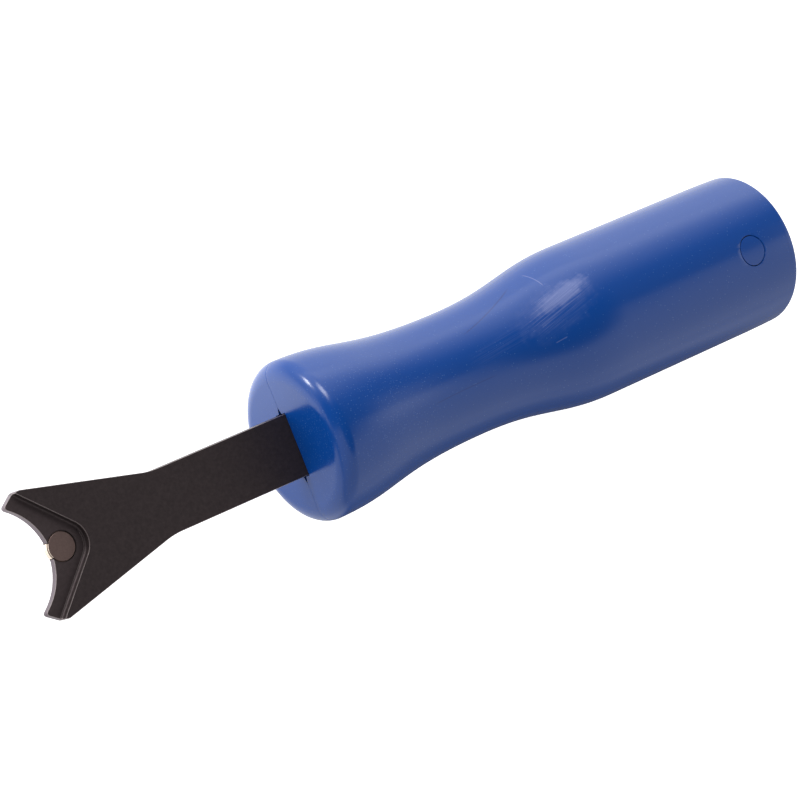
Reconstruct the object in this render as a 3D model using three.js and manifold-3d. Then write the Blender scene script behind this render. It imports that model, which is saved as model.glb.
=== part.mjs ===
// Fork-nosed lifting tool: a flat black steel blade with a pin in its concave edge, clamped by its tang between
// the two moulded halves of a round waisted handle. Millimetres, +Z up. The tool lies along X with its fork
// towards -X. The origin is at the middle of its box, on the surface that the handle lies on.
import * as THREE from 'three';
import { mergeVertices } from 'three/addons/utils/BufferGeometryUtils.js';
import Module from 'manifold-3d';

// Gap left between pieces that touch on the real tool
const GAP = 0.3;

// Handle. Its stations are counted from its front face, where x is 0, towards the rear
const HANDLE_LENGTH = 132;
const BULGE_RADIUS = 17.65;
const WAIST_RADIUS = 13.95;
const WAIST_X = 44;
const BARREL_START_X = 80.3;
const FRONT_RIM = { length: 3.4, height: 3.9 };
// How far the outline's curves reach level from each end, from bulge to waist and from waist to barrel
const FRONT_SWEEP = { fromBulge: 15, toWaist: 24.6 };
const REAR_SWEEP = { fromWaist: 18.5, toBarrel: 13.4 };
const REAR_RIM = 0.9;
const WALL = 3;
const END_WALL = 4;
const HANDLE_FACETS = 24;
const RIB_THICKNESS = 2;
const RIB_STATIONS = [24, 44, 60, 78, 98];

// Blade
const BLADE_THICKNESS = 3.4;
const SHANK_HALF_WIDTH = 6.75;
const TANG_LENGTH = 50;
const TANG_CORNER = 2;
const FLARE_START_X = -34.2;
const FLARE_SOFTNESS = 2;
const HORN_CORNER = { x: -62.9, y: 13.55 };
const HORN_CORNER_SOFTNESS = 0.8;
const HORN_TIP = { x: -66.4, y: 11 };
const HORN_TIP_SOFTNESS = 1.1;
const NOTCH_RADIUS = 12.8;
const NOTCH_BOTTOM_X = -60.15;

// Step milled into the fork's upper face: a right-angled V with a rounded point and a hollowed foot to its wall
const RECESS_DEPTH = 1.6;
const RECESS_POINT_X = -50.35;
const RECESS_POINT_RADIUS = 4.8;
const RECESS_FOOT_RADIUS = 0.8;

// Pin in the concave edge
const PIN_X = -57.55;
const PIN_RADIUS = 2.95;
const PIN_CHAMFER = 0.2;

// Pieces that hold the handle and the blade together
const TANG_PIN_STATIONS = { tang_pin_front: 14, tang_pin_rear: 34 };
const TANG_PIN_RADIUS = 2.5;
const TANG_PIN_LENGTH = 20;
const BOSS_WALL = 2.5;
const SCREW_X = 119.6;
const SCREW_RADIUS = 1.9;
const SCREW_TIP_Z = -12;
const SCREW_HEAD = { radius: 3.2, height: 2.4, socketRadius: 1.5, socketDepth: 1.4 };
const PLUG_RADIUS = 3.35;
const PLUG_BOTTOM_Z = 14.6;
const PEG = { stations: [60, 98], radius: 1.6, height: 3, root: -1 };

const CURVE_STEPS = 7;
const ARC_STEPS = 4;
const ROUND_FACETS = 24;
const FAR = 400;
const MERGE_TOLERANCE = 1e-4;

const wasm = await Module();
wasm.setup();

const colours = {
  handle: new THREE.MeshStandardMaterial({ color: 0x1b4fa8, roughness: 0.28, metalness: 0 }),
  blade: new THREE.MeshStandardMaterial({ color: 0x2b2522, roughness: 0.6, metalness: 0.6 }),
  pin: new THREE.MeshStandardMaterial({ color: 0x54483f, roughness: 0.5, metalness: 0.8 }),
  fastener: new THREE.MeshStandardMaterial({ color: 0xa9abae, roughness: 0.35, metalness: 1 }),
};

// ---- joining and cutting ----

function toSolid(geometry) {
  const bare = geometry.clone();
  bare.deleteAttribute('normal');
  bare.deleteAttribute('uv');
  const merged = mergeVertices(bare, MERGE_TOLERANCE);
  const index = merged.index.array;
  const kept = [];
  for (let i = 0; i < index.length; i += 3) {
    const [a, b, c] = [index[i], index[i + 1], index[i + 2]];
    if (a !== b && b !== c && c !== a) kept.push(a, b, c);
  }
  const vertProperties = new Float32Array(merged.attributes.position.array);
  return new wasm.Manifold(new wasm.Mesh({ numProp: 3, vertProperties, triVerts: new Uint32Array(kept) }));
}

function toGeometry(solid) {
  const mesh = solid.getMesh();
  const geometry = new THREE.BufferGeometry();
  geometry.setAttribute('position', new THREE.BufferAttribute(new Float32Array(mesh.vertProperties), 3));
  geometry.setIndex(new THREE.BufferAttribute(new Uint32Array(mesh.triVerts), 1));
  return geometry;
}

function joined(solids) {
  return solids.reduce((sum, solid) => sum.add(solid));
}

// ---- simple solids ----

function boxBetween(low, high) {
  const size = high.map((value, axis) => value - low[axis]);
  const centre = high.map((value, axis) => (value + low[axis]) / 2);
  return toSolid(new THREE.BoxGeometry(...size).translate(...centre));
}

function uprightCylinder(x, radius, bottom, top) {
  const geometry = new THREE.CylinderGeometry(radius, radius, top - bottom, ROUND_FACETS);
  return toSolid(geometry.rotateX(Math.PI / 2).translate(x, 0, (bottom + top) / 2));
}

function plate(shape, bottom, top) {
  const options = { depth: top - bottom, bevelEnabled: false, curveSegments: CURVE_STEPS };
  return toSolid(new THREE.ExtrudeGeometry(shape, options).translate(0, 0, bottom));
}

// ---- handle ----

// Outline of the handle as radius against station, without its two ends on the axis
function handleOutline() {
  const outline = new THREE.Path();
  outline.moveTo(BULGE_RADIUS - FRONT_RIM.height, 0);
  outline.absellipse(
    BULGE_RADIUS - FRONT_RIM.height, FRONT_RIM.length, FRONT_RIM.height, FRONT_RIM.length,
    -Math.PI / 2, 0, false, 0,
  );
  outline.bezierCurveTo(
    BULGE_RADIUS, FRONT_RIM.length + FRONT_SWEEP.fromBulge,
    WAIST_RADIUS, WAIST_X - FRONT_SWEEP.toWaist,
    WAIST_RADIUS, WAIST_X,
  );
  outline.bezierCurveTo(
    WAIST_RADIUS, WAIST_X + REAR_SWEEP.fromWaist,
    BULGE_RADIUS, BARREL_START_X - REAR_SWEEP.toBarrel,
    BULGE_RADIUS, BARREL_START_X,
  );
  outline.lineTo(BULGE_RADIUS, HANDLE_LENGTH - REAR_RIM);
  outline.lineTo(BULGE_RADIUS - REAR_RIM, HANDLE_LENGTH);
  return outline.getPoints(CURVE_STEPS);
}

// Turned solid about the X axis. Its flats touch the true radius, and one of them faces straight down
function turned(points) {
  const facetAngle = (Math.PI * 2) / HANDLE_FACETS;
  const spread = 1 / Math.cos(facetAngle / 2);
  const profile = points.map((point) => new THREE.Vector2(point.x * spread, point.y));
  const first = new THREE.Vector2(0, profile[0].y);
  const last = new THREE.Vector2(0, profile[profile.length - 1].y);
  const lathe = new THREE.LatheGeometry([first, ...profile, last], HANDLE_FACETS, facetAngle / 2);
  return toSolid(lathe.rotateZ(-Math.PI / 2));
}

function handleBody() {
  return turned(handleOutline());
}

// The hollow inside the wall, left full at the ribs and the bosses
function handleHollow() {
  const isInside = (point) => point.y > END_WALL && point.y < HANDLE_LENGTH - END_WALL;
  const inner = handleOutline().filter(isInside).map((point) => new THREE.Vector2(point.x - WALL, point.y));
  inner.unshift(new THREE.Vector2(inner[0].x, END_WALL));
  inner.push(new THREE.Vector2(BULGE_RADIUS - WALL, HANDLE_LENGTH - END_WALL));
  const ribs = RIB_STATIONS.map((x) => boxBetween(
    [x - RIB_THICKNESS / 2, -FAR, -FAR],
    [x + RIB_THICKNESS / 2, FAR, FAR],
  ));
  const pinBosses = Object.values(TANG_PIN_STATIONS).map((x) => (
    uprightCylinder(x, TANG_PIN_RADIUS + GAP + BOSS_WALL, -FAR, FAR)
  ));
  const pegBosses = PEG.stations.map((x) => uprightCylinder(x, PEG.radius + GAP + BOSS_WALL, -FAR, FAR));
  const screwBoss = uprightCylinder(SCREW_X, SCREW_HEAD.radius + GAP + BOSS_WALL, -FAR, FAR);
  return turned(inner).subtract(joined([...ribs, ...pinBosses, ...pegBosses, screwBoss]));
}

// Everything that is cut out of both halves: the tang's pocket, and the holes for its pins and for the screw
function handleCuts() {
  const reach = SHANK_HALF_WIDTH + GAP;
  const depth = BLADE_THICKNESS / 2 + GAP;
  const pocket = boxBetween([-FAR, -reach, -depth], [TANG_LENGTH + GAP, reach, depth]);
  const pinHalf = TANG_PIN_LENGTH / 2 + GAP;
  const pinHoles = Object.values(TANG_PIN_STATIONS).map((x) => (
    uprightCylinder(x, TANG_PIN_RADIUS + GAP, -pinHalf, pinHalf)
  ));
  const screwHole = uprightCylinder(SCREW_X, SCREW_RADIUS + GAP, SCREW_TIP_Z - GAP, screwHeadBottom());
  const counterbore = uprightCylinder(SCREW_X, PLUG_RADIUS + GAP, screwHeadBottom() - GAP, FAR);
  return joined([pocket, ...pinHoles, screwHole, counterbore]);
}

function pegs(radius, height) {
  return joined(PEG.stations.map((x) => uprightCylinder(x, radius, PEG.root, height)));
}

function handleHalfTop(shell) {
  const keep = boxBetween([-FAR, -FAR, GAP / 2], [FAR, FAR, FAR]);
  return shell.intersect(keep).subtract(pegs(PEG.radius + GAP, PEG.height + GAP));
}

function handleHalfBottom(shell) {
  const keep = boxBetween([-FAR, -FAR, -FAR], [FAR, FAR, -GAP / 2]);
  return shell.intersect(keep).add(pegs(PEG.radius, PEG.height));
}

// ---- blade ----

// Point on the way from one point to another, a given distance along
function stepFrom(from, to, distance) {
  return from.clone().add(to.clone().sub(from).setLength(distance));
}

// One side of the blade's outline, from the tang's end to the notch, with its corners softened
function bladeSide() {
  const notchCentreX = NOTCH_BOTTOM_X - NOTCH_RADIUS;
  const tangEnd = new THREE.Vector2(TANG_LENGTH, SHANK_HALF_WIDTH - TANG_CORNER);
  const tangSide = new THREE.Vector2(TANG_LENGTH - TANG_CORNER, SHANK_HALF_WIDTH);
  const flareStart = new THREE.Vector2(FLARE_START_X, SHANK_HALF_WIDTH);
  const corner = new THREE.Vector2(HORN_CORNER.x, HORN_CORNER.y);
  const tip = new THREE.Vector2(HORN_TIP.x, HORN_TIP.y);
  const notchEndX = tip.x + HORN_TIP_SOFTNESS;
  const notchEndY = Math.sqrt(NOTCH_RADIUS ** 2 - (notchEndX - notchCentreX) ** 2);
  const notchEnd = new THREE.Vector2(notchEndX, notchEndY);
  const soften = (before, point, after, distance) => new THREE.QuadraticBezierCurve(
    stepFrom(point, before, distance),
    point,
    stepFrom(point, after, distance),
  ).getPoints(ARC_STEPS);
  const tipStart = stepFrom(tip, corner, HORN_TIP_SOFTNESS);
  return [
    tangEnd,
    tangSide,
    ...soften(tangSide, flareStart, corner, FLARE_SOFTNESS),
    ...soften(flareStart, corner, tip, HORN_CORNER_SOFTNESS),
    ...new THREE.QuadraticBezierCurve(tipStart, tip, notchEnd).getPoints(ARC_STEPS),
  ];
}

function bladeShape() {
  const side = bladeSide();
  const notchCentreX = NOTCH_BOTTOM_X - NOTCH_RADIUS;
  const notchEnd = side[side.length - 1];
  const arcAngle = Math.atan2(notchEnd.y, notchEnd.x - notchCentreX);
  const shape = new THREE.Shape(side);
  shape.absarc(notchCentreX, 0, NOTCH_RADIUS, arcAngle, -arcAngle, true);
  for (const point of side.slice(0, -1).reverse()) shape.lineTo(point.x, -point.y);
  return shape;
}

// Outline of the recess at one height: a V open towards the fork's end, its point rounded
function recessLevel(z, pointX, radius) {
  const centreX = pointX - radius * Math.SQRT2;
  const points = [];
  for (let step = 0; step <= ARC_STEPS; step += 1) {
    const angle = Math.PI / 4 - (Math.PI / 2) * (step / ARC_STEPS);
    points.push([centreX + radius * Math.cos(angle), radius * Math.sin(angle)]);
  }
  const farY = HORN_CORNER.y * 2;
  points.unshift([pointX - farY, farY]);
  points.push([pointX - farY, -farY]);
  return points.map(([x, y]) => [x, y, z]);
}

// The recess's cutter: the outline at each level, joined by walls. It runs straight down to the hollowed foot,
// which is drawn as one slope
function recessCutter() {
  const top = BLADE_THICKNESS / 2;
  const floor = top - RECESS_DEPTH;
  const footInset = RECESS_FOOT_RADIUS * Math.SQRT2;
  const levels = [
    recessLevel(floor, RECESS_POINT_X - footInset, RECESS_POINT_RADIUS - RECESS_FOOT_RADIUS),
    recessLevel(floor + RECESS_FOOT_RADIUS, RECESS_POINT_X, RECESS_POINT_RADIUS),
    recessLevel(top + 1, RECESS_POINT_X, RECESS_POINT_RADIUS),
  ];
  const count = levels[0].length;
  const last = (levels.length - 1) * count;
  const index = [];
  for (let start = 0; start < last; start += count) {
    for (let i = 0; i < count; i += 1) {
      const next = (i + 1) % count;
      index.push(start + i, start + i + count, start + next);
      index.push(start + next, start + i + count, start + next + count);
    }
  }
  for (let i = 1; i < count - 1; i += 1) {
    index.push(0, i, i + 1);
    index.push(last, last + i + 1, last + i);
  }
  const geometry = new THREE.BufferGeometry();
  geometry.setAttribute('position', new THREE.Float32BufferAttribute(levels.flat(2), 3));
  geometry.setIndex(index);
  return toSolid(geometry);
}

function blade() {
  const half = BLADE_THICKNESS / 2;
  const tangHoles = Object.values(TANG_PIN_STATIONS).map((x) => (
    uprightCylinder(x, TANG_PIN_RADIUS + GAP, -FAR, FAR)
  ));
  const pinHole = uprightCylinder(PIN_X, PIN_RADIUS + GAP, -FAR, FAR);
  return plate(bladeShape(), -half, half).subtract(joined([...tangHoles, pinHole, recessCutter()]));
}

// ---- small pieces ----

function notchPin() {
  const top = BLADE_THICKNESS / 2 - RECESS_DEPTH;
  const bottom = -BLADE_THICKNESS / 2;
  const profile = [
    [0, bottom],
    [PIN_RADIUS, bottom],
    [PIN_RADIUS, top - PIN_CHAMFER],
    [PIN_RADIUS - PIN_CHAMFER, top],
    [0, top],
  ].map(([radius, z]) => new THREE.Vector2(radius, z));
  return toSolid(new THREE.LatheGeometry(profile, ROUND_FACETS).rotateX(Math.PI / 2).translate(PIN_X, 0, 0));
}

function tangPin(x) {
  return uprightCylinder(x, TANG_PIN_RADIUS, -TANG_PIN_LENGTH / 2, TANG_PIN_LENGTH / 2);
}

function screwHeadBottom() {
  return PLUG_BOTTOM_Z - GAP - SCREW_HEAD.height;
}

function rearScrew() {
  const bottom = screwHeadBottom();
  const top = bottom + SCREW_HEAD.height;
  const shank = uprightCylinder(SCREW_X, SCREW_RADIUS, SCREW_TIP_Z, bottom + 1);
  const head = uprightCylinder(SCREW_X, SCREW_HEAD.radius, bottom, top);
  const { socketRadius, socketDepth } = SCREW_HEAD;
  const hexagon = new THREE.CylinderGeometry(socketRadius, socketRadius, socketDepth * 2, 6);
  const socket = toSolid(hexagon.rotateX(Math.PI / 2).translate(SCREW_X, 0, top));
  return shank.add(head).subtract(socket);
}

function screwPlug(body) {
  return uprightCylinder(SCREW_X, PLUG_RADIUS, PLUG_BOTTOM_Z, FAR).intersect(body);
}

// ---- assembly ----

const body = handleBody();
const shell = body.subtract(handleHollow()).subtract(handleCuts());

const pieces = [
  ['blade', blade(), colours.blade],
  ['notch_pin', notchPin(), colours.pin],
  ['handle_half_top', handleHalfTop(shell), colours.handle],
  ['handle_half_bottom', handleHalfBottom(shell), colours.handle],
  ['tang_pin_front', tangPin(TANG_PIN_STATIONS.tang_pin_front), colours.fastener],
  ['tang_pin_rear', tangPin(TANG_PIN_STATIONS.tang_pin_rear), colours.fastener],
  ['rear_screw', rearScrew(), colours.fastener],
  ['screw_plug', screwPlug(body), colours.handle],
];

const tool = new THREE.Group();
for (const [name, solid, material] of pieces) {
  const mesh = new THREE.Mesh(toGeometry(solid), material);
  mesh.name = name;
  tool.add(mesh);
}

const box = new THREE.Box3().setFromObject(tool);
tool.position.set(-(box.min.x + box.max.x) / 2, 0, -box.min.z);

export default tool;
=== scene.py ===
"""Fork-nosed lifting tool: a black steel blade clamped between the two moulded halves of a blue handle.

Every length is in metres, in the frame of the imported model: the tool lies along X with its fork towards -X,
and the handle rests on the floor at z = 0. Places along the tool are given as stations, counted from the
front face of the handle towards the rear.
"""

import logging
import math
from contextlib import contextmanager
from dataclasses import dataclass, field
from enum import Enum
from typing import Any, Callable, Iterator, Optional, Sequence

import bmesh
import bpy
from mathutils import Matrix, Vector
from mathutils.geometry import interpolate_bezier


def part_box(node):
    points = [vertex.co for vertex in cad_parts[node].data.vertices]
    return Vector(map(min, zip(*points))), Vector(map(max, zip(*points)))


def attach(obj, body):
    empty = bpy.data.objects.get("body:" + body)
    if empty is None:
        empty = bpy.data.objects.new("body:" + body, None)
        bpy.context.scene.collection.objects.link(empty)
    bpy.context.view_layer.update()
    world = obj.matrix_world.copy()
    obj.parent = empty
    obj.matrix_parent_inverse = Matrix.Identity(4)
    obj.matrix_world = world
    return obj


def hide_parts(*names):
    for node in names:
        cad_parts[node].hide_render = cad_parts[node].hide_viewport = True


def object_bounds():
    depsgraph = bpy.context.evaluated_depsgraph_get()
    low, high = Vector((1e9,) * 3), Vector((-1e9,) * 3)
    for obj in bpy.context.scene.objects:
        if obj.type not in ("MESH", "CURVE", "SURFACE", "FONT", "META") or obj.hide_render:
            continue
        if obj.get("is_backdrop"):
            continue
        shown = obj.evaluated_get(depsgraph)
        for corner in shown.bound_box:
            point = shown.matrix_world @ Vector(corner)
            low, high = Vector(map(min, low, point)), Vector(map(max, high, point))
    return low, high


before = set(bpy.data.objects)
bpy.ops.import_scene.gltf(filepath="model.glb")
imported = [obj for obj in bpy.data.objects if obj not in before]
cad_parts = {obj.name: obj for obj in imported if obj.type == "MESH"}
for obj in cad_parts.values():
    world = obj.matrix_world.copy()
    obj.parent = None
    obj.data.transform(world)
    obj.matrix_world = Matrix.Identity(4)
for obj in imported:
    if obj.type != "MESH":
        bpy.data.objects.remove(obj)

log = logging.getLogger("lifting_tool")

MM = 0.001
BODY = "root"
# Longer than the tool, for cutters that run right out of it.
FAR = 0.4
# Two places closer than this are the same place.
TINY = 1e-6
# How far a bump texture goes in.
BUMP_DEPTH = 0.02 * MM
# Sides of a circle that shows, and of one that doesn't.
SHOWN_SIDES = 96
HIDDEN_SIDES = 48

# Axes to spin about: the tool's own, from +Y up towards -Y, and an upright one.
AROUND_TOOL = (-1, 0, 0)
UPRIGHT = (0, 0, 1)

Tree = bpy.types.NodeTree
Node = bpy.types.Node
Socket = bpy.types.NodeSocket
Test = Callable[[Vector], bool]
EdgeTest = Callable[[Vector, Vector], bool]


def linear(hex_colour: str) -> tuple[float, float, float, float]:
    """Turns an sRGB hex colour into the linear colour that shaders take.

    Args:
        hex_colour: Six hex digits, with a leading #.

    Returns:
        Linear red, green and blue, and an alpha of 1.
    """
    values = [int(hex_colour[i:i + 2], 16) / 255 for i in (1, 3, 5)]
    red, green, blue = (v / 12.92 if v <= 0.04045 else ((v + 0.055) / 1.055) ** 2.4 for v in values)
    return red, green, blue, 1.0


def per_mm(size: float) -> float:
    """Texture scale at which one feature is this many millimetres across."""
    return 1.0 / (size * MM)


@dataclass(frozen=True)
class Datum:
    """Where the tool's stations and its axis lie in the frame."""

    front: float
    axis: float

    @classmethod
    def measured(cls) -> "Datum":
        """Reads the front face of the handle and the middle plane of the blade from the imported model."""
        handle_low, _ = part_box("handle_half_top")
        blade_low, blade_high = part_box("blade")
        return cls(handle_low.x, (blade_low.z + blade_high.z) / 2)

    def point(self, station: float, across: float = 0.0, height: float = 0.0) -> Vector:
        """Place in the frame.

        Args:
            station: Distance behind the front face of the handle.
            across: Distance from the axis, towards +Y.
            height: Distance above the axis.

        Returns:
            The point in the frame.
        """
        return Vector((self.front + station, across, self.axis + height))


DATUM = Datum.measured()


# ---------------------------------------------------------------- modelling


class Workpiece:
    """A mesh object that is shaped by hand-modelling operators."""

    def __init__(self, obj: bpy.types.Object) -> None:
        """Takes over an object."""
        self.obj = obj

    @staticmethod
    def deselect() -> None:
        """Deselects every object."""
        bpy.ops.object.select_all(action="DESELECT")

    @classmethod
    def _new(cls, name: str) -> "Workpiece":
        """Names the primitive just added, and moves its place and size into its mesh."""
        obj = bpy.context.active_object
        obj.name = name
        obj.data.name = name
        bpy.ops.object.transform_apply(location=True, rotation=True, scale=True)
        return cls(obj)

    @classmethod
    def block(cls, name: str, low: Vector, high: Vector) -> "Workpiece":
        """Starts from a block between two corners.

        Args:
            name: Object name.
            low: Lowest corner.
            high: Highest corner.

        Returns:
            The new workpiece.
        """
        cls.deselect()
        bpy.ops.mesh.primitive_cube_add(size=1, location=(low + high) / 2, scale=high - low)
        return cls._new(name)

    @classmethod
    def rod(cls, name: str, bottom: Vector, radius: float, length: float, sides: int = 64) -> "Workpiece":
        """Starts from an upright rod.

        Args:
            name: Object name.
            bottom: Centre of its lower end.
            radius: Its radius.
            length: Its length along Z.
            sides: How many sides its circle has.

        Returns:
            The new workpiece.
        """
        cls.deselect()
        centre = bottom + Vector((0, 0, length / 2))
        bpy.ops.mesh.primitive_cylinder_add(vertices=sides, radius=radius, depth=length, location=centre)
        return cls._new(name)

    @classmethod
    def traced(cls, name: str, points: Sequence[Vector], closed: bool) -> "Workpiece":
        """Starts from one vertex and extrudes it from point to point.

        Args:
            name: Object name.
            points: The points, in order.
            closed: Whether the line returns to its start and is filled with a face.

        Returns:
            The new workpiece.
        """
        cls.deselect()
        bpy.ops.mesh.primitive_plane_add(size=MM, location=points[0])
        piece = cls._new(name)
        with piece.editing("SELECT"):
            bpy.ops.mesh.merge(type="CENTER")
            for before, after in zip(points, points[1:]):
                bpy.ops.mesh.extrude_region_move(TRANSFORM_OT_translate={"value": after - before})
            if closed:
                bpy.ops.mesh.select_all(action="SELECT")
                bpy.ops.mesh.edge_face_add()
        return piece

    @contextmanager
    def editing(self, select: str = "DESELECT") -> Iterator[None]:
        """Opens the piece in edit mode with nothing selected, or with all of it, and closes it afterwards."""
        self.deselect()
        self.obj.select_set(True)
        bpy.context.view_layer.objects.active = self.obj
        bpy.ops.object.mode_set(mode="EDIT")
        bpy.ops.mesh.select_mode(type="VERT")
        bpy.ops.mesh.select_all(action=select)
        yield
        bpy.ops.object.mode_set(mode="OBJECT")

    def select_vertices(self, test: Test) -> None:
        """Selects the vertices that pass a test on their place, in edit mode.

        Args:
            test: Takes a vertex's place.
        """
        bpy.ops.mesh.select_mode(type="VERT")
        mesh = bmesh.from_edit_mesh(self.obj.data)
        for vertex in mesh.verts:
            vertex.select_set(test(vertex.co))
        mesh.select_flush_mode()
        bmesh.update_edit_mesh(self.obj.data)

    def select_edges(self, test: EdgeTest) -> int:
        """Selects the edges that pass a test on their two ends, in edit mode.

        Args:
            test: Takes the places of both ends.

        Returns:
            How many are selected.
        """
        bpy.ops.mesh.select_mode(type="EDGE")
        mesh = bmesh.from_edit_mesh(self.obj.data)
        for edge in mesh.edges:
            edge.select_set(test(edge.verts[0].co, edge.verts[1].co))
        bmesh.update_edit_mesh(self.obj.data)
        return sum(edge.select for edge in mesh.edges)

    def spin(self, angle: float, steps: int, centre: Vector, axis: tuple[int, int, int]) -> None:
        """Spins the traced line, and merges it where it meets itself.

        Args:
            angle: How far it turns.
            steps: How many steps it turns in.
            centre: A point on the axis.
            axis: The axis's direction.
        """
        with self.editing("SELECT"):
            bpy.ops.mesh.spin(steps=steps, angle=angle, center=centre, axis=axis)
            bpy.ops.mesh.select_all(action="SELECT")
            bpy.ops.mesh.remove_doubles(threshold=TINY)

    def face_outwards(self) -> None:
        """Turns every face of a closed single-walled shape outwards."""
        with self.editing("SELECT"):
            bpy.ops.mesh.normals_make_consistent(inside=False)

    def raise_by(self, height: float) -> None:
        """Extrudes the whole flat piece along Z into a closed plate."""
        with self.editing("SELECT"):
            bpy.ops.mesh.extrude_region_move(TRANSFORM_OT_translate={"value": (0, 0, height)})
        self.face_outwards()

    def bevel_edges(self, test: EdgeTest, width: float, segments: int) -> None:
        """Rounds the edges that pass a test.

        Args:
            test: Takes the places of both ends of an edge.
            width: How wide the bevel is.
            segments: How many strips it has.
        """
        with self.editing():
            if self.select_edges(test):
                bpy.ops.mesh.bevel(offset=width, segments=segments, affect="EDGES")

    def modify(self, kind: str, **settings: Any) -> None:
        """Adds a modifier and applies it.

        Args:
            kind: The modifier's type.
            settings: Its settings.
        """
        self.deselect()
        self.obj.select_set(True)
        bpy.context.view_layer.objects.active = self.obj
        modifier = self.obj.modifiers.new(kind.lower(), kind)
        for name, value in settings.items():
            setattr(modifier, name, value)
        bpy.ops.object.modifier_apply(modifier=modifier.name)

    def combine(self, operation: str, *tools: "Workpiece") -> "Workpiece":
        """Joins, cuts or intersects the piece with others, which are used up.

        Args:
            operation: UNION, DIFFERENCE or INTERSECT.
            tools: The other pieces.

        Returns:
            The piece itself.
        """
        for tool in tools:
            self.modify("BOOLEAN", operation=operation, solver="EXACT", object=tool.obj)
            bpy.data.objects.remove(tool.obj)
        return self

    def copy(self, name: str) -> "Workpiece":
        """Copies the piece with its own mesh."""
        obj = self.obj.copy()
        obj.data = self.obj.data.copy()
        obj.name = name
        obj.data.name = name
        bpy.context.scene.collection.objects.link(obj)
        return Workpiece(obj)

    def move(self, offset: Vector) -> None:
        """Moves the mesh, leaving the object at the origin."""
        with self.editing("SELECT"):
            bpy.ops.transform.translate(value=offset)

    def tidy(self) -> None:
        """Merges vertices that lie on each other and removes faces and edges with no size."""
        with self.editing("SELECT"):
            bpy.ops.mesh.dissolve_degenerate(threshold=TINY)
            bpy.ops.mesh.remove_doubles(threshold=TINY)

    def shade(self, degrees: float) -> None:
        """Shades the piece smooth except at edges sharper than an angle, and keeps its flats flat."""
        self.deselect()
        self.obj.select_set(True)
        bpy.context.view_layer.objects.active = self.obj
        bpy.ops.object.shade_smooth_by_angle(angle=math.radians(degrees))
        self.modify("WEIGHTED_NORMAL", mode="FACE_AREA", weight=50, keep_sharp=True)

    def paint(self, finishes: Sequence["Finish"], choose: Callable[[Vector, Vector], int]) -> None:
        """Gives each face one of several finishes.

        Args:
            finishes: The finishes.
            choose: Takes a face's middle and its normal, and gives the number of its finish.
        """
        for finish in finishes:
            self.obj.data.materials.append(finish.material())
        for face in self.obj.data.polygons:
            face.material_index = choose(face.center, face.normal)

    def hand_over(self, node: str, slot: str, finish: Optional["Finish"] = None) -> bpy.types.Object:
        """Dresses the finished piece and puts it in its CAD node's place.

        Args:
            node: The CAD node that it stands for.
            slot: The record's material slot; not used.
            finish: Its finish, unless it is painted already.

        Returns:
            The finished object.
        """
        if finish:
            self.obj.data.materials.append(finish.material())
        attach(self.obj, BODY)
        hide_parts(node)
        log.info("%s: %d faces for %s", self.obj.name, len(self.obj.data.polygons), node)
        return self.obj


# ---------------------------------------------------------------- finishes


def add_node(tree: Tree, kind: str, inputs: Optional[dict[Any, Any]] = None, **settings: Any) -> Node:
    """Adds one shader node with its settings and links.

    Args:
        tree: The node tree.
        kind: The node's type, without its first word, ShaderNode.
        inputs: What goes into each socket, by its name or number: a value, an output of another node, or the
            node itself for its first output.
        settings: The node's own settings.

    Returns:
        The new node.
    """
    node = tree.nodes.new("ShaderNode" + kind)
    for name, value in settings.items():
        setattr(node, name, value)
    for socket, value in (inputs or {}).items():
        source = value.outputs[0] if isinstance(value, Node) else value
        if isinstance(source, Socket):
            tree.links.new(source, node.inputs[socket])
        else:
            node.inputs[socket].default_value = source
    return node


@dataclass(frozen=True)
class Finish:
    """A surface finish. Its material is built once and shared by all the pieces that have it."""

    name: str

    def material(self) -> bpy.types.Material:
        """Gives the finish's material, building it the first time."""
        known = bpy.data.materials.get(self.name)
        if known:
            return known
        material = bpy.data.materials.new(self.name)
        material.use_nodes = True
        tree = material.node_tree
        tree.nodes.clear()
        place = add_node(tree, "TexCoord").outputs["Object"]
        shader = add_node(tree, "BsdfPrincipled", self.surface(tree, place))
        add_node(tree, "OutputMaterial", {"Surface": shader})
        return material

    def surface(self, tree: Tree, place: Socket) -> dict[str, Any]:
        """Adds the finish's own nodes.

        Args:
            tree: The material's nodes.
            place: Object coordinates.

        Returns:
            What goes into each socket of the shader.
        """
        raise NotImplementedError


@dataclass(frozen=True)
class Scuff:
    """Patch scuffed by something flat, with fine strokes that all run one way, under a pale tint that is
    partly scuff whitening and partly a painted highlight where the lamp's reflection spreads over the scuff.

    Its outline is frayed by its own strokes and by a coarser unevenness.
    """

    station: float
    across: float
    height: float
    turn: float
    half_length: float
    half_width: float
    depth: float
    haze_and_sheen: float
    stroke_width: float = 0.18 * MM
    stroke_length: float = 14 * MM
    stroke_fray: float = 0.7
    edge_fray: float = 0.9
    edge_fray_size: float = 2.0
    faded: tuple[float, float] = (2.1, 1.3)


@dataclass(frozen=True)
class Hairline:
    """Single long scratch, slightly bowed. It looks lighter or darker than the plastic round it."""

    station: float
    across: float
    turn: float
    half_length: float
    bow: float
    light: bool
    strength: float = 0.5
    width: tuple[float, float] = (0.16, 0.05)


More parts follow.
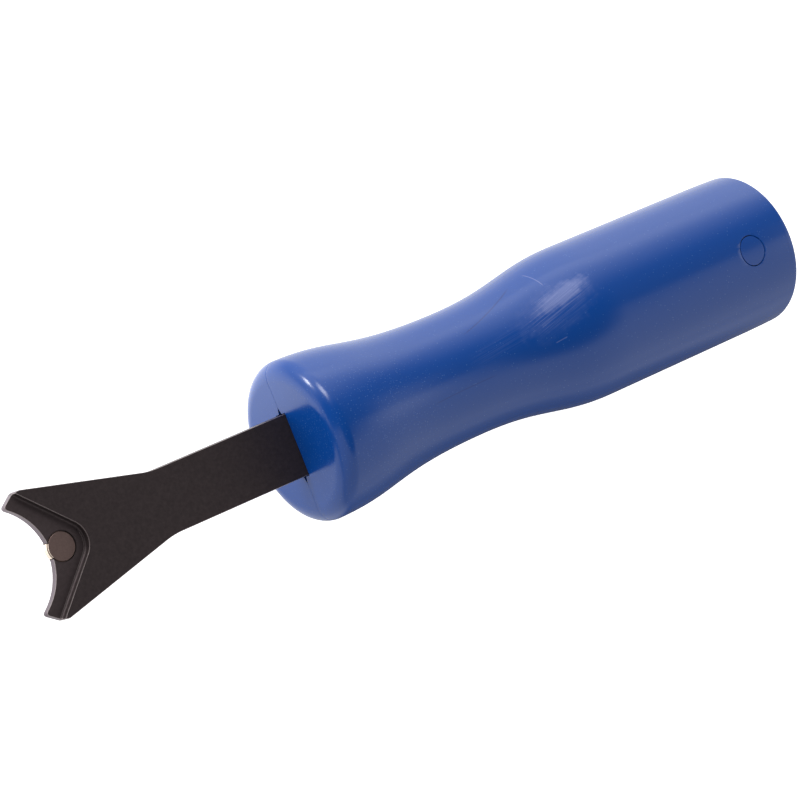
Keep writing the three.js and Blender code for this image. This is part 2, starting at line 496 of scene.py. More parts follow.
@dataclass(frozen=True)
class MouldedBluePlastic(Finish):
    """Glossy royal-blue ABS, injection moulded in a polished tool.

    It gives slightly rippled reflections over a deep blue, with light specks, scuffed patches and hairline
    scratches from handling. The specks, the strokes and the grain of the real surface are finer than a tenth
    of a millimetre, so they are drawn coarser.
    """

    base: str = "#024190"
    speck: str = "#86aee6"
    pale: str = "#a9b0da"
    deep: str = "#02205c"
    roughness: float = 0.2
    ripple_size: float = 2.2
    grain_size: float = 0.3
    grain_depth: float = 0.5
    speck_spacing: float = 0.36
    speck_stretch: float = 1.5
    speck_size: tuple[float, float] = (0.38, 0.12)
    speck_light: tuple[float, float] = (0.03, 0.18)
    held: tuple[float, float, float] = (13 * MM, -1.5 * MM, 17 * MM)
    held_reach: tuple[float, float] = (3 * MM, 22 * MM)
    bare_share: tuple[float, float] = (0.3, 0.9)
    stroke_tint: float = 0.13
    stroke_roughness: float = 0.12
    stroke_relief: float = -0.7
    scratch_relief: float = -1.5
    scuffs: tuple[Scuff, ...] = (
        Scuff(65 * MM, 5.4 * MM, 14.6 * MM, 14.4, 10.5 * MM, 4.8 * MM, depth=0.9, haze_and_sheen=0.02),
        Scuff(67.5 * MM, 7.5 * MM, 14.6 * MM, 12.0, 7.5 * MM, 1.9 * MM, depth=0.2, haze_and_sheen=0.25),
        Scuff(50 * MM, 3.0 * MM, 13.7 * MM, 6.0, 11 * MM, 2.4 * MM, depth=0.3, haze_and_sheen=0.0),
    )
    hairlines: tuple[Hairline, ...] = (
        Hairline(51.0 * MM, 10.34 * MM, 16.3, 9.6 * MM, -0.43 * MM, light=False),
        Hairline(65.6 * MM, 12.6 * MM, -80.0, 1.9 * MM, 0.25 * MM, light=True, strength=0.25),
        Hairline(62.7 * MM, -1.3 * MM, 5.6, 1.6 * MM, 0.0, light=True, strength=0.16),
        Hairline(35.9 * MM, -2.95 * MM, 1.3, 9.2 * MM, 0.15 * MM, light=False, strength=0.35),
    )

    def specks(self, tree: Tree, place: Socket) -> Node:
        """Light specks, thickest on the front of the handle where it is held.

        Args:
            tree: The material's nodes.
            place: Object coordinates.

        Returns:
            The node that gives how much of a speck each point has.
        """
        stretched = add_node(
            tree, "Mapping", {"Vector": place, "Scale": (self.speck_stretch, 1, 1)}, vector_type="TEXTURE"
        )
        cells = add_node(tree, "TexVoronoi", {"Vector": stretched, "Scale": per_mm(self.speck_spacing)})
        rim, core = self.speck_size
        dot = add_node(
            tree, "MapRange", {"Value": cells, "From Min": rim, "From Max": core},
            interpolation_type="SMOOTHSTEP",
        )
        chance = add_node(tree, "SeparateColor", {"Color": cells.outputs["Color"]})
        away = add_node(tree, "VectorMath", {0: place, 1: DATUM.point(*self.held)}, operation="DISTANCE")
        near, far = self.held_reach
        least, most = self.bare_share
        bare = add_node(
            tree, "MapRange",
            {"Value": away.outputs["Value"], "From Min": near, "From Max": far,
             "To Min": least, "To Max": most},
        )
        chosen = add_node(tree, "Math", {0: chance, 1: bare}, operation="GREATER_THAN")
        dim, bright = self.speck_light
        light = add_node(
            tree, "MapRange", {"Value": chance.outputs["Green"], "To Min": dim, "To Max": bright}
        )
        strength = add_node(tree, "Math", {0: chosen, 1: light}, operation="MULTIPLY")
        return add_node(tree, "Math", {0: dot, 1: strength}, operation="MULTIPLY")

    def scuff(self, tree: Tree, place: Socket, scuff: Scuff) -> tuple[Node, Node]:
        """One scuffed patch.

        Args:
            tree: The material's nodes.
            place: Object coordinates.
            scuff: The patch.

        Returns:
            The nodes that give how far inside the patch each point is, and how deep a stroke is there.
        """
        turn = (0, 0, math.radians(scuff.turn))
        along = add_node(
            tree, "Mapping",
            {"Vector": place, "Location": DATUM.point(scuff.station, scuff.across, scuff.height),
             "Rotation": turn, "Scale": (scuff.half_length, scuff.half_width, scuff.half_length)},
            vector_type="TEXTURE",
        )
        reach = add_node(tree, "VectorMath", {0: along}, operation="LENGTH").outputs["Value"]
        grain = add_node(
            tree, "Mapping",
            {"Vector": place, "Rotation": turn,
             "Scale": (scuff.stroke_length, scuff.stroke_width, scuff.stroke_length)},
            vector_type="TEXTURE",
        )
        lines = add_node(tree, "TexNoise", {"Vector": grain, "Scale": 1.0, "Detail": 2.0})
        uneven = add_node(
            tree, "TexNoise", {"Vector": place, "Scale": per_mm(scuff.edge_fray_size), "Detail": 3.0}
        )
        frayed = add_node(tree, "Math", {0: lines, 1: scuff.stroke_fray, 2: reach}, operation="MULTIPLY_ADD")
        edge = add_node(tree, "Math", {0: uneven, 1: scuff.edge_fray, 2: frayed}, operation="MULTIPLY_ADD")
        outside, inside = scuff.faded
        patch = add_node(
            tree, "MapRange", {"Value": edge, "From Min": outside, "From Max": inside},
            interpolation_type="SMOOTHSTEP",
        )
        stroke = add_node(
            tree, "MapRange", {"Value": lines, "From Min": 0.4, "From Max": 0.65, "To Max": scuff.depth}
        )
        return patch, add_node(tree, "Math", {0: stroke, 1: patch}, operation="MULTIPLY")

    def hairline(self, tree: Tree, place: Socket, line: Hairline) -> Node:
        """One single scratch.

        Args:
            tree: The material's nodes.
            place: Object coordinates.
            line: The scratch.

        Returns:
            The node that gives how much of the scratch each point has.
        """
        along = add_node(
            tree, "Mapping",
            {"Vector": place, "Location": DATUM.point(line.station, line.across),
             "Rotation": (0, 0, math.radians(line.turn)), "Scale": (line.half_length, MM, MM)},
            vector_type="TEXTURE",
        )
        axes = add_node(tree, "SeparateXYZ", {"Vector": along})
        squared = add_node(tree, "Math", {0: axes, 1: axes}, operation="MULTIPLY")
        bow = line.bow / MM
        bowed = add_node(tree, "Math", {0: squared, 1: bow, 2: axes.outputs["Y"]}, operation="MULTIPLY_ADD")
        away = add_node(tree, "Math", {0: bowed, 1: bow}, operation="SUBTRACT")
        distance = add_node(tree, "Math", {0: away}, operation="ABSOLUTE")
        outer, inner = line.width
        width = add_node(
            tree, "MapRange",
            {"Value": distance, "From Min": outer, "From Max": inner, "To Max": line.strength},
        )
        ends = add_node(tree, "MapRange", {"Value": squared, "From Min": 1.0, "From Max": 0.6})
        upper = add_node(tree, "MapRange", {"Value": axes.outputs["Z"]})
        mark = add_node(tree, "Math", {0: width, 1: ends}, operation="MULTIPLY")
        return add_node(tree, "Math", {0: mark, 1: upper}, operation="MULTIPLY")

    def surface(self, tree: Tree, place: Socket) -> dict[str, Any]:
        """Adds the blue, the specks, the scuffs, the scratches and the ripple."""
        ripple = add_node(
            tree, "TexNoise",
            {"Vector": place, "Scale": per_mm(self.ripple_size), "Detail": 1.0, "Roughness": 0.4},
        )
        grain = add_node(
            tree, "TexNoise",
            {"Vector": place, "Scale": per_mm(self.grain_size), "Detail": 2.0, "Roughness": 0.6},
        )
        relief = add_node(tree, "Math", {0: grain, 1: self.grain_depth, 2: ripple}, operation="MULTIPLY_ADD")
        roughness: Any = self.roughness
        tints = [(self.specks(tree, place), self.speck)]
        for scuff in self.scuffs:
            patch, strokes = self.scuff(tree, place, scuff)
            # Pale tint over the patch: partly scuff whitening, partly a painted highlight of the lamp's
            # reflection spread by the scuff.
            haze_and_sheen = add_node(tree, "Math", {0: patch, 1: scuff.haze_and_sheen}, operation="MULTIPLY")
            scuff_pale_and_sheen = add_node(
                tree, "Math", {0: strokes, 1: self.stroke_tint, 2: haze_and_sheen}, operation="MULTIPLY_ADD"
            )
            tints.append((scuff_pale_and_sheen, self.pale))
            relief = add_node(
                tree, "Math", {0: strokes, 1: self.stroke_relief, 2: relief}, operation="MULTIPLY_ADD"
            )
            roughness = add_node(
                tree, "Math", {0: strokes, 1: self.stroke_roughness, 2: roughness}, operation="MULTIPLY_ADD"
            )
        for line in self.hairlines:
            mark = self.hairline(tree, place, line)
            tints.append((mark, self.pale if line.light else self.deep))
            relief = add_node(
                tree, "Math", {0: mark, 1: self.scratch_relief, 2: relief}, operation="MULTIPLY_ADD"
            )
        colour: Any = linear(self.base)
        for share, tint in tints:
            mix = add_node(tree, "Mix", {0: share, 6: colour, 7: linear(tint)}, data_type="RGBA")
            colour = mix.outputs[2]
        bump = add_node(tree, "Bump", {"Height": relief, "Strength": 0.3, "Distance": BUMP_DEPTH})
        return {"Base Color": colour, "Roughness": roughness, "Normal": bump, "IOR": 1.5}


@dataclass(frozen=True)
class BlackOxideSteel(Finish):
    """Spring-steel plate, blackened in a hot oxide bath.

    It gives a matt brown-black face with fine mottling. The grain of the real oxide is finer, so it is drawn
    coarser.
    """

    base: str = "#2f2829"
    mottle: str = "#4c4243"
    roughness: float = 0.52
    mottle_size: float = 0.7
    grain_size: float = 0.3

    def surface(self, tree: Tree, place: Socket) -> dict[str, Any]:
        """Adds the oxide's colour, its mottling and its grain."""
        mottle = add_node(
            tree, "TexNoise",
            {"Vector": place, "Scale": per_mm(self.mottle_size), "Detail": 4.0, "Roughness": 0.65},
        )
        colour = add_node(
            tree, "Mix", {0: mottle, 6: linear(self.base), 7: linear(self.mottle)}, data_type="RGBA"
        )
        grain = add_node(
            tree, "TexNoise", {"Vector": place, "Scale": per_mm(self.grain_size), "Detail": 2.0}
        )
        bump = add_node(tree, "Bump", {"Height": grain, "Strength": 0.3, "Distance": BUMP_DEPTH})
        return {
            "Base Color": colour.outputs[2], "Normal": bump, "Roughness": self.roughness, "Metallic": 0.7,
        }


@dataclass(frozen=True)
class BareSteel(Finish):
    """Steel with its oxide ground off, as on the fork's cut ends and on edges, or under a thin zinc plating.
    On the blade's edge bevels it stands partly for bare steel from wear and partly for a painted highlight,
    at the foot of the recess for a painted reflection, and on the pin's open side for a painted highlight.

    It gives a brighter metal with fine streaks.
    """

    base: str
    dark: str
    roughness: float
    streak_size: float = 0.35

    def surface(self, tree: Tree, place: Socket) -> dict[str, Any]:
        """Adds the steel's colour and streaks."""
        streaks = add_node(
            tree, "TexNoise",
            {"Vector": place, "Scale": per_mm(self.streak_size), "Detail": 3.0, "Roughness": 0.7},
        )
        colour = add_node(
            tree, "Mix", {0: streaks, 6: linear(self.dark), 7: linear(self.base)}, data_type="RGBA"
        )
        return {"Base Color": colour.outputs[2], "Roughness": self.roughness, "Metallic": 1.0}


@dataclass(frozen=True)
class StudioPaper(Finish):
    """Matt white backdrop paper, lit until it is pure white."""

    base: str = "#f7f7f7"

    def surface(self, tree: Tree, place: Socket) -> dict[str, Any]:
        """Adds the paper's colour, its fibres and its glow."""
        fibres = add_node(tree, "TexNoise", {"Vector": place, "Scale": per_mm(3.0)})
        bump = add_node(tree, "Bump", {"Height": fibres, "Strength": 0.1, "Distance": BUMP_DEPTH})
        colour = linear(self.base)
        return {
            "Base Color": colour, "Emission Color": colour, "Emission Strength": 1.0, "Roughness": 0.9,
            "Normal": bump,
        }


@dataclass(frozen=True)
class Glow:
    """Soft light over part of the room or of a card.

    Each span names an axis, the place along it where the light starts, and the place where it is full.
    """

    radiance: float
    spans: tuple[tuple[str, float, float], ...]


def graded(tree: Tree, place: Socket, base: float, glows: Sequence[Glow]) -> Node:
    """Adds up glows over an even base.

    Args:
        tree: The node tree.
        place: Coordinates or direction.
        base: The light everywhere.
        glows: The glows on top of it.

    Returns:
        The node that gives the light at each place.
    """
    axes = add_node(tree, "SeparateXYZ", {"Vector": place})
    total: Any = base
    for glow in glows:
        level: Any = glow.radiance
        for axis, start, full in glow.spans:
            span = add_node(
                tree, "MapRange", {"Value": axes.outputs[axis], "From Min": start, "From Max": full},
                interpolation_type="SMOOTHSTEP",
            )
            level = add_node(tree, "Math", {0: span, 1: level}, operation="MULTIPLY")
        total = add_node(tree, "Math", {0: level, 1: total}, operation="ADD")
    return total


@dataclass(frozen=True)
class GlowingShadowCard(Finish):
    """Dark card that glows, graded from light to dark. It is seen only in reflections, and its glow paints
    the pool of light on the floor beside the tool and the tool's cast shadow as a dim strip on its -Y side.
    """

    base: float
    glows: tuple[Glow, ...]

    def surface(self, tree: Tree, place: Socket) -> dict[str, Any]:
        """Adds the card's light."""
        return {
            "Base Color": linear("#101010"), "Roughness": 1.0, "Emission Color": linear("#ffffff"),
            "Emission Strength": graded(tree, place, self.base, self.glows),
        }


BLUE_PLASTIC = MouldedBluePlastic("injection_moulded_blue_abs")
BLACK_OXIDE = BlackOxideSteel("hot_black_oxide_spring_steel")
# Lighter oxide for the recess floor: painted fill light that cancels the shade which the recess wall casts on
# it.
RECESS_OXIDE_PAINTED_FILL = BlackOxideSteel("black_oxide_recess_lightened_as_painted_fill", base="#3f3637", mottle="#574c4e")
# Bright steel for the blade's edge bevels and the recess foot on one side: partly bare steel from wear,
# partly a painted highlight along the edges and a painted reflection at the foot.
BRIGHT_EDGE_WEAR_AND_GLINT = BareSteel("edge_steel_wear_and_painted_glint", base="#b8adad", dark="#857b7b", roughness=0.42)
CUT_EDGE = BareSteel("laser_cut_steel_edge", base="#837980", dark="#6c6268", roughness=0.5)
PIN_FACE = BareSteel("oxide_stained_pin_face", base="#8a7671", dark="#705e5a", roughness=0.55)
# Near-white, warm steel for the pin's open side: a painted highlight where the side shows in the concave
# edge.
PIN_SIDE_PAINTED_GLINT = BareSteel("pin_side_painted_highlight", base="#fbefe2", dark="#e8d2bb", roughness=0.2)
ZINC = BareSteel("zinc_plated_steel", base="#c2c5ca", dark="#a9adb4", roughness=0.3, streak_size=2.0)


# ---------------------------------------------------------------- handle


class Side(Enum):
    """The two halves of the handle, by the direction that their backs face."""

    TOP = 1
    BOTTOM = -1


@dataclass(frozen=True)
class Peg:
    """Locating peg that keys the two halves together."""

    stations: tuple[float, ...] = (60 * MM, 98 * MM)
    radius: float = 1.6 * MM
    play: float = 0.1 * MM
    height: float = 3 * MM
    root: float = 1 * MM


@dataclass
class Handle:
    """Waisted round handle, moulded as two half shells that meet in the middle plane of the blade."""

    length: float = 132 * MM
    bulge_radius: float = 17.65 * MM
    waist_radius: float = 13.95 * MM
    waist: float = 44 * MM
    barrel_start: float = 80.3 * MM
    rim_length: float = 3.4 * MM
    rim_height: float = 3.9 * MM
    rear_rim: float = 0.9 * MM
    reach_from_bulge: float = 15 * MM
    reach_to_waist: float = 24.6 * MM
    reach_from_waist: float = 18.5 * MM
    reach_to_barrel: float = 13.4 * MM
    wall: float = 3 * MM
    end_wall: float = 4 * MM
    rib_stations: tuple[float, ...] = (24 * MM, 44 * MM, 60 * MM, 78 * MM, 98 * MM)
    rib_thickness: float = 2 * MM
    boss_wall: float = 2.5 * MM
    clearance: float = 0.3 * MM
    parting_gap: float = 0.02 * MM
    parting_edge: float = 0.05 * MM
    slot_half_width: float = 6.85 * MM
    slot_half_height: float = 1.76 * MM
    slot_edge: float = 0.12 * MM
    notch_overlap: float = 0.3 * MM
    notch_reach: float = 1.6 * MM
    notch_half_height: float = 0.65 * MM
    notch_depth: float = 0.7 * MM
    notch_taper: float = 0.03
    crown_length: float = 9 * MM
    crown: float = 0.14 * MM
    tang_length: float = 50 * MM
    face_ring: float = 1.2 * MM
    rim_steps: int = 18
    sweep_steps: int = 52
    barrel_steps: int = 12
    crown_steps: int = 14
    half_turn_steps: int = 104
    rear_rim_steps: int = 6
    inner_every: int = 3
    peg: Peg = field(default_factory=Peg)

    def outline(self, inset: float = 0.0) -> list[tuple[float, float]]:
        """Outline from the front face to the rear face, as stations and radii.

        Args:
            inset: How far inside the true outline the line runs, on the round stretches.

        Returns:
            Stations and radii, without the flat faces' centres.
        """
        rim_base = self.bulge_radius - self.rim_height
        points = []
        for step in range(self.rim_steps):
            angle = math.pi / 2 * step / self.rim_steps
            points.append((
                self.rim_length * (1 - math.cos(angle)),
                rim_base + self.rim_height * math.sin(angle),
            ))
        sweeps = (
            (
                (self.rim_length, self.bulge_radius),
                (self.rim_length + self.reach_from_bulge, self.bulge_radius),
                (self.waist - self.reach_to_waist, self.waist_radius),
                (self.waist, self.waist_radius),
            ),
            (
                (self.waist, self.waist_radius),
                (self.waist + self.reach_from_waist, self.waist_radius),
                (self.barrel_start - self.reach_to_barrel, self.bulge_radius),
                (self.barrel_start, self.bulge_radius),
            ),
        )
        for sweep in sweeps:
            corners = [Vector((x, radius, 0)) for x, radius in sweep]
            curve = interpolate_bezier(*corners, self.sweep_steps + 1)
            points += [(point.x, point.y) for point in curve[:-1]]
        barrel_end = self.length - self.rear_rim
        crown_start = barrel_end - self.crown_length
        for step in range(self.barrel_steps):
            share = step / self.barrel_steps
            points.append((self.barrel_start + (crown_start - self.barrel_start) * share, self.bulge_radius))
        for step in range(self.crown_steps):
            share = step / self.crown_steps
            points.append((
                crown_start + self.crown_length * share, self.bulge_radius - self.crown * share ** 2
            ))
        for step in range(self.rear_rim_steps + 1):
            angle = math.pi / 2 * step / self.rear_rim_steps
            points.append((
                barrel_end + self.rear_rim * math.sin(angle),
                self.bulge_radius - self.crown - self.rear_rim * (1 - math.cos(angle)),
            ))
        return [(x, radius - inset) for x, radius in points]

    def half_body(self, name: str) -> Workpiece:
        """Solid half of the turned body, above the parting plane, with a fine round edge along it."""
        outline = self.outline()
        front_ring = (0.0, outline[0][1] - self.face_ring)
        rear_ring = (self.length, outline[-1][1] - self.face_ring)
        points = [DATUM.point(x, radius) for x, radius in (front_ring, *outline, rear_ring)]
        piece = Workpiece.traced(name, points, closed=False)
        piece.spin(math.pi, self.half_turn_steps, DATUM.point(0), AROUND_TOOL)
        front = points[0].x
        rear = points[-1].x
        front_radius = front_ring[1] + TINY
        rear_radius = rear_ring[1] + TINY
        with piece.editing():
            piece.select_vertices(lambda co: abs(co.x - front) < TINY and _radius(co) < front_radius)
            bpy.ops.mesh.edge_face_add()
            piece.select_vertices(lambda co: abs(co.x - rear) < TINY and _radius(co) < rear_radius)
            bpy.ops.mesh.edge_face_add()
            piece.select_edges(lambda a, b: _on_plane(a) and _on_plane(b))
            bpy.ops.mesh.edge_face_add()
        piece.face_outwards()
        piece.bevel_edges(lambda a, b: _on_plane(a) and _on_plane(b), self.parting_edge, 3)
        return piece

    def hollow(self) -> Workpiece:
        """The space inside the walls, between the ribs."""
        inner = [
            point for point in self.outline(self.wall)
            if self.end_wall < point[0] < self.length - self.end_wall
        ][::self.inner_every]
        ends = [(self.end_wall, inner[0][1]), *inner, (self.length - self.end_wall, inner[-1][1])]
        axis_ends = [(self.end_wall, 0.0), *ends, (self.length - self.end_wall, 0.0)]
        space = Workpiece.traced("hollow", [DATUM.point(x, radius) for x, radius in axis_ends], closed=False)
        space.spin(math.tau, HIDDEN_SIDES, DATUM.point(0), AROUND_TOOL)
        space.face_outwards()
        half_rib = self.rib_thickness / 2
        for station in self.rib_stations:
            low = DATUM.point(station - half_rib, -FAR, -FAR)
            high = DATUM.point(station + half_rib, FAR, FAR)
            space.combine("DIFFERENCE", Workpiece.block("rib", low, high))
        return space

    def boss(self, station: float, bore: float) -> Workpiece:
        """Upright boss round a bore, through the whole handle."""
        radius = bore + self.clearance + self.boss_wall
        return Workpiece.rod("boss", DATUM.point(station, 0, -FAR), radius, 2 * FAR, HIDDEN_SIDES)

    def slot_cutter(self) -> Workpiece:
        """Pocket for the tang, open at the front face."""
        half_width = self.slot_half_width
        low = DATUM.point(-FAR, -half_width, -self.slot_half_height)
        high = DATUM.point(self.tang_length + self.clearance, half_width, self.slot_half_height)
        return Workpiece.block("slot", low, high)

    def notch_cutter(self, side: float) -> Workpiece:
        """Small V that the parting opens into beside the blade.

        Args:
            side: 1 for the +Y side and -1 for the -Y side.

        Returns:
            The cutter.
        """
        inner = side * (self.slot_half_width - self.notch_overlap)
        outer = side * (self.slot_half_width + self.notch_reach)
        low = DATUM.point(-FAR, min(inner, outer), -self.notch_half_height)
        high = DATUM.point(self.notch_depth, max(inner, outer), self.notch_half_height)
        wedge = Workpiece.block("notch", low, high)
        with wedge.editing():
            wedge.select_vertices(lambda co: abs(co.y - outer) < TINY)
            bpy.ops.transform.resize(value=(1, 1, self.notch_taper), center_override=DATUM.point(0))
        return wedge


def _radius(co: Vector) -> float:
    """Distance of a point from the tool's axis."""
    return math.hypot(co.y, co.z - DATUM.axis)


def _on_plane(co: Vector) -> bool:
    """Whether a point lies in the middle plane of the blade."""
    return abs(co.z - DATUM.axis) < TINY


@dataclass
class RearScrew:
    """Cap screw that closes the rear of the handle, under a round plug."""

    station: float = 119.6 * MM
    radius: float = 1.9 * MM
    tip: float = -12 * MM
    head_radius: float = 3.2 * MM
    head_height: float = 2.4 * MM
    head_bottom: float = 11.9 * MM
    socket_radius: float = 1.5 * MM
    socket_depth: float = 1.4 * MM
    pitch: float = 0.7 * MM
    thread_depth: float = 0.3 * MM
    plain_length: float = 6 * MM
    steps: int = 40

    def build(self) -> bpy.types.Object:
        """Models the screw: shank with thread grooves, head with a hexagon socket."""
        profile = [(0.0, self.tip), (self.radius - self.thread_depth, self.tip)]
        height = self.tip + self.pitch
        while height < self.head_bottom - self.plain_length:
            profile += [
                (self.radius - self.thread_depth, height - self.pitch / 2),
                (self.radius, height),
            ]
            height += self.pitch
        profile += [
            (self.radius, self.head_bottom),
            (self.head_radius, self.head_bottom),
            (self.head_radius, self.head_bottom + self.head_height),
            (0.0, self.head_bottom + self.head_height),
        ]
        points = [DATUM.point(self.station + radius, 0, height) for radius, height in profile]
        screw = Workpiece.traced("rear_screw_fine", points, closed=False)
        screw.spin(math.tau, self.steps, DATUM.point(self.station), UPRIGHT)
        screw.face_outwards()
        top = self.head_bottom + self.head_height
        socket_bottom = DATUM.point(self.station, 0, top - self.socket_depth)
        screw.combine(
            "DIFFERENCE", Workpiece.rod("socket", socket_bottom, self.socket_radius, 2 * self.socket_depth, 6)
        )
        screw.shade(35)
        return screw.hand_over("rear_screw", "zinc_plated_steel", ZINC)


@dataclass
class ScrewPlug:
    """Round plug that hides the screw. Its top follows the barrel."""

    radius: float = 3.35 * MM
    bottom: float = 14.6 * MM
    blank_length: float = 8 * MM
    groove: float = 0.17 * MM
    lip: float = 0.1 * MM

    def build(self, handle: Handle, screw: RearScrew) -> bpy.types.Object:
        """Models the plug.

        Args:
            handle: The handle, whose barrel it is flush with.
            screw: The screw that it covers.

        Returns:
            The finished object.
        """
        base = DATUM.point(screw.station, 0, self.bottom)
        plug = Workpiece.rod("screw_plug_fine", base, self.radius, self.blank_length, SHOWN_SIDES)
        plug.combine("INTERSECT", handle.half_body("plug_envelope"))
        plug.tidy()
        plug.shade(35)
        return plug.hand_over("screw_plug", "blue_plastic", BLUE_PLASTIC)


@dataclass
class TangPins:
    """Two steel pins that cross the tang and locate it in both halves."""

    stations: tuple[tuple[str, float], ...] = (("tang_pin_front", 14 * MM), ("tang_pin_rear", 34 * MM))
    radius: float = 2.5 * MM
    length: float = 20 * MM
    chamfer: float = 0.4 * MM
    play: float = 0.1 * MM

    def build(self) -> list[bpy.types.Object]:
        """Models one pin with chamfered ends and copies it to each station."""
        first = Workpiece.rod("tang_pin", DATUM.point(0, 0, -self.length / 2), self.radius, self.length)
        ends = (DATUM.axis - self.length / 2, DATUM.axis + self.length / 2)

        def on_end(a: Vector, b: Vector) -> bool:
            """Whether an edge lies on the rim of either end."""
            return abs(a.z - b.z) < TINY and min(abs(a.z - end) for end in ends) < TINY

        first.bevel_edges(on_end, self.chamfer, 2)
        first.shade(35)
        pins = []
        for name, station in self.stations:
            pin = first.copy(f"{name}_fine")
            pin.move(Vector((station, 0, 0)))
            pins.append(pin.hand_over(name, "zinc_plated_steel", ZINC))
        bpy.data.objects.remove(first.obj)
        return pins


@dataclass
class HandleHalves:
    """The two moulded half shells, cut from the handle's body."""

    handle: Handle
    screw: RearScrew
    plug: ScrewPlug
    pins: TangPins

    def hollow(self) -> Workpiece:
        """The space inside both halves, round the ribs and the bosses."""
        handle = self.handle
        space = handle.hollow()
        bores = [(station, self.pins.radius) for _, station in self.pins.stations]
        bores += [(station, handle.peg.radius) for station in handle.peg.stations]
        bores.append((self.screw.station, self.screw.head_radius))
        return space.combine("DIFFERENCE", *(handle.boss(station, bore) for station, bore in bores))

    def cutters(self) -> list[Workpiece]:
        """Everything that is cut out of both halves."""
        handle = self.handle
        gap = handle.clearance
        tools = [handle.slot_cutter(), handle.notch_cutter(1), handle.notch_cutter(-1)]
        for _, station in self.pins.stations:
            half = self.pins.length / 2 + gap
            tools.append(Workpiece.rod(
                "pin_bore", DATUM.point(station, 0, -half), self.pins.radius + gap, 2 * half
            ))
        screw = self.screw
        tools.append(Workpiece.rod(
            "screw_bore", DATUM.point(screw.station, 0, screw.tip - gap),
            screw.radius + gap, screw.head_bottom - screw.tip + gap,
        ))
        tools.append(Workpiece.rod(
            "counterbore", DATUM.point(screw.station, 0, screw.head_bottom - gap),
            self.plug.radius + self.plug.groove, FAR, SHOWN_SIDES,
        ))
        return tools

    def on_mouth(self, a: Vector, b: Vector) -> bool:
        """Whether an edge borders the slot on the front face."""
        return all(
            abs(co.x - DATUM.front) < TINY and abs(co.y) < self.handle.slot_half_width + TINY
            and abs(co.z - DATUM.axis) < self.handle.slot_half_height + TINY
            for co in (a, b)
        )

    def on_plug_rim(self, a: Vector, b: Vector) -> bool:
        """Whether an edge runs round the mouth of the plug's hole."""
        centre = DATUM.point(self.screw.station)
        radius = self.plug.radius + self.plug.groove
        above = DATUM.axis + self.plug.bottom
        return all(
            co.z > above and abs(math.hypot(co.x - centre.x, co.y) - radius) < 10 * TINY
            for co in (a, b)
        )

    def build(self, side: Side) -> bpy.types.Object:
        """Models one half.

        Args:
            side: Which half.

        Returns:
            The finished object.
        """
        name = "handle_half_top" if side is Side.TOP else "handle_half_bottom"
        half = self.handle.half_body(name + "_fine")
        if side is Side.BOTTOM:
            with half.editing("SELECT"):
                bpy.ops.transform.rotate(
                    value=math.pi, orient_axis="X", center_override=DATUM.point(0)
                )
        half.move(Vector((0, 0, side.value * self.handle.parting_gap / 2)))
        half.combine("DIFFERENCE", self.hollow(), *self.cutters())
        peg = self.handle.peg
        for station in peg.stations:
            if side is Side.TOP:
                hole = Workpiece.rod(
                    "peg_hole", DATUM.point(station, 0, -peg.root),
                    peg.radius + peg.play, peg.height + peg.root + self.handle.clearance, HIDDEN_SIDES,
                )
                half.combine("DIFFERENCE", hole)
            else:
                solid = Workpiece.rod(
                    "peg", DATUM.point(station, 0, -peg.root),
                    peg.radius, peg.height + peg.root, HIDDEN_SIDES,
                )
                half.combine("UNION", solid)
        half.tidy()
        half.bevel_edges(self.on_mouth, self.handle.slot_edge, 2)
        if side is Side.TOP:
            half.bevel_edges(self.on_plug_rim, self.plug.lip, 2)
        half.shade(32)
        return half.hand_over(name, "blue_plastic", BLUE_PLASTIC)


# ---------------------------------------------------------------- blade


@dataclass
class NotchPin:
    """Short steel pin let into the bottom of the fork's concave edge, its face level with the recess.

    Its top is turned down a little, which leaves a fine groove round its face.
    """

    station: float = -57.55 * MM
    radius: float = 2.95 * MM
    gap: float = 0.16 * MM
    play: float = 0.02 * MM
    neck: float = 0.45 * MM
    chamfer: float = 0.16 * MM
    glint_from: float = 0.4
    glint_lean: float = 0.3

    def build(self, bottom: float, top: float) -> bpy.types.Object:
        """Models the pin.

        Args:
            bottom: Height of its lower end above the axis.
            top: Height of its face above the axis.

        Returns:
            The finished object.
        """
        pin = Workpiece.rod(
            "notch_pin_fine", DATUM.point(self.station, 0, bottom), self.radius + self.gap - self.play,
            top - bottom - self.neck, SHOWN_SIDES,
        )
        shoulder = DATUM.axis + top - self.neck
        face = DATUM.axis + top
        with pin.editing():
            pin.select_vertices(lambda co: abs(co.z - shoulder) < TINY)
            bpy.ops.mesh.inset(thickness=self.gap - self.play)
            bpy.ops.mesh.extrude_region_move(TRANSFORM_OT_translate={"value": (0, 0, self.neck)})
        pin.bevel_edges(
            lambda a, b: abs(a.z - face) < TINY and abs(b.z - face) < TINY, self.chamfer, 3
        )
        # The pin's open side, where it shows in the concave edge, takes the near-white steel as a painted
        # highlight; the rest takes the brown face steel.
        open_side = DATUM.point(self.station - self.glint_from * self.radius).x

        def is_face(centre: Vector, normal: Vector) -> bool:
            """Whether a face has the look of the pin's top, as all but its open side has."""
            return normal.z >= self.glint_lean or centre.x >= open_side

        pin.paint((PIN_SIDE_PAINTED_GLINT, PIN_FACE), is_face)
        pin.shade(35)
        return pin.hand_over("notch_pin", "bare_steel_pin")


class BladeFinish(Enum):
    """The finishes on the blade, by their material slots."""

    OXIDE = 0
    # Bright steel: bare steel from wear on the edge bevels, with a painted highlight along them and a painted
    # reflection at the recess foot.
    RUBBED = 1
    CUT = 2
    # Lighter oxide on the recess floor, as painted fill light.
    RECESS = 3


